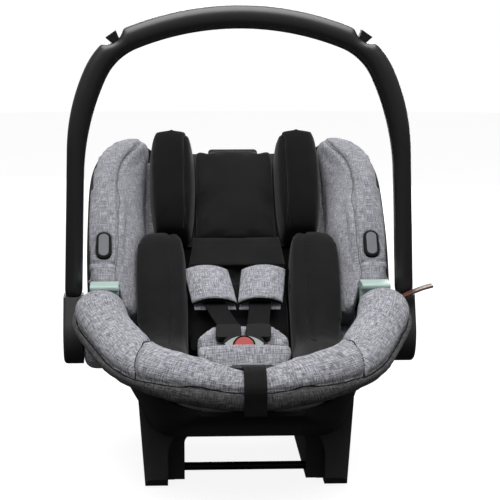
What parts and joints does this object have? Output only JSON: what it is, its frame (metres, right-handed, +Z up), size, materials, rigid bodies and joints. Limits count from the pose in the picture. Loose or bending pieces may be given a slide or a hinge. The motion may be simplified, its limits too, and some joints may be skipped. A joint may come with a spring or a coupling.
{
  "type": "infant car seat",
  "caption": "Rear-facing infant car seat: padded shell with wings on a docking base, sliding headrest, five-point harness with buckle and a swinging carry handle.",
  "frame": {"origin": "on the floor, under the middle of the seat's length and width", "axes": "+X to the right seen from the foot end, +Y towards the head end, +Z up"},
  "size_m": [0.4595, 0.6161, 0.57],
  "materials": {
    "shell_black": "fine texture",
    "handle_black": "satin",
    "grey_cover": "melange weave",
    "charcoal_cover": "soft knit",
    "foam": "foam",
    "webbing": "ribbed weave",
    "mint_plastic": "satin",
    "grey_plastic": "satin",
    "plate_plastic": "satin",
    "red_plastic": "satin",
    "tab_leather": "smooth",
    "foot_rubber": "matt",
    "steel": "brushed"
  },
  "bodies": {
    "shell": {"adjuster_housing": "grey_plastic", "adjuster_strap": "webbing", "back_cushion": "charcoal_cover", "back_liner": "foam", "base_frame": "shell_black", "base_screws": "steel", "belt_guide_left": "mint_plastic", "belt_guide_right": "mint_plastic", "bolster_left": "charcoal_cover", "bolster_right": "charcoal_cover", "buckle_housing": "shell_black", "buckle_plate": "plate_plastic", "buckle_spring": "steel", "crotch_pad": "grey_cover", "crotch_strap": "webbing", "foot_pads": "foot_rubber", "front_latch_bar": "steel", "front_rim_pad": "grey_cover", "headrest_rail": "shell_black", "pivot_boss_left": "shell_black", "pivot_boss_right": "shell_black", "pivot_pin_left": "steel", "pivot_pin_right": "steel", "pull_tab": "tab_leather", "rear_belt_guide": "mint_plastic", "rear_latch_bar": "steel", "seat_cushion": "charcoal_cover", "seat_liner": "foam", "seat_shell": "shell_black", "shoulder_pad_left": "grey_cover", "shoulder_pad_right": "grey_cover", "shoulder_strap_left": "webbing", "shoulder_strap_right": "webbing", "side_pad_left": "grey_cover", "side_pad_right": "grey_cover", "tongue_strap_left": "webbing", "tongue_strap_right": "webbing", "wing_bezel_left": "grey_plastic", "wing_bezel_right": "grey_plastic", "wing_pad_left": "grey_cover", "wing_pad_right": "grey_cover"},
    "handle": {"handle_bow": "handle_black", "canopy_pegs": "handle_black", "handle_hub_left": "handle_black", "handle_hub_right": "handle_black", "hub_spring_left": "steel", "hub_spring_right": "steel"},
    "hub_button_left": {"hub_button_left": "handle_black"},
    "hub_button_right": {"hub_button_right": "handle_black"},
    "headrest": {"headrest_frame": "shell_black", "headrest_cushion": "charcoal_cover", "headrest_wing_left": "charcoal_cover", "headrest_wing_right": "charcoal_cover"},
    "headrest_lever": {"headrest_lever": "shell_black"},
    "wing_button_left": {"wing_button_left": "grey_plastic"},
    "wing_button_right": {"wing_button_right": "grey_plastic"},
    "buckle_button": {"buckle_button": "red_plastic"},
    "tongue_left": {"tongue_left": "shell_black"},
    "tongue_right": {"tongue_right": "shell_black"},
    "adjuster_button": {"adjuster_button": "grey_plastic"}
  },
  "joints": [
    {"name": "handle_swing", "type": "hinge", "parent": "shell", "child": "handle", "pos_m": [0, 0.048, 0.15], "axis": [1, 0, 0], "range_deg": [-100, 0]},
    {"name": "hub_button_left_press", "type": "slide", "parent": "handle", "child": "hub_button_left", "axis": [1, 0, 0], "range_m": [0, 0.004], "stiffness_N_per_m": 400, "deforming": ["hub_spring_left"]},
    {"name": "hub_button_right_press", "type": "slide", "parent": "handle", "child": "hub_button_right", "axis": [-1, 0, 0], "range_m": [0, 0.004], "stiffness_N_per_m": 400, "deforming": ["hub_spring_right"]},
    {"name": "headrest_slide", "type": "slide", "parent": "shell", "child": "headrest", "axis": [0, 0.682, 0.7314], "range_m": [0, 0.045]},
    {"name": "headrest_lever_pull", "type": "slide", "parent": "headrest", "child": "headrest_lever", "axis": [0, 0.682, 0.7314], "range_m": [0, 0.006], "stiffness_N_per_m": 300},
    {"name": "wing_button_left_press", "type": "slide", "parent": "shell", "child": "wing_button_left", "axis": [0, 0.7314, -0.682], "range_m": [0, 0.005], "stiffness_N_per_m": 400},
    {"name": "wing_button_right_press", "type": "slide", "parent": "shell", "child": "wing_button_right", "axis": [0, 0.7314, -0.682], "range_m": [0, 0.005], "stiffness_N_per_m": 400},
    {"name": "buckle_button_press", "type": "slide", "parent": "shell", "child": "buckle_button", "axis": [0, 0.848, -0.5299], "range_m": [0, 0.004], "stiffness_N_per_m": 600, "deforming": ["buckle_spring"]},
    {"name": "tongue_left_pull", "type": "slide", "parent": "shell", "child": "tongue_left", "axis": [0, 0.5299, 0.848], "range_m": [0, 0.015], "deforming": ["tongue_strap_left"]},
    {"name": "tongue_right_pull", "type": "slide", "parent": "shell", "child": "tongue_right", "axis": [0, 0.5299, 0.848], "range_m": [0, 0.015], "deforming": ["tongue_strap_right"]},
    {"name": "adjuster_button_press", "type": "slide", "parent": "shell", "child": "adjuster_button", "axis": [0, 0, -1], "range_m": [0, 0.003], "stiffness_N_per_m": 400}
  ]
}
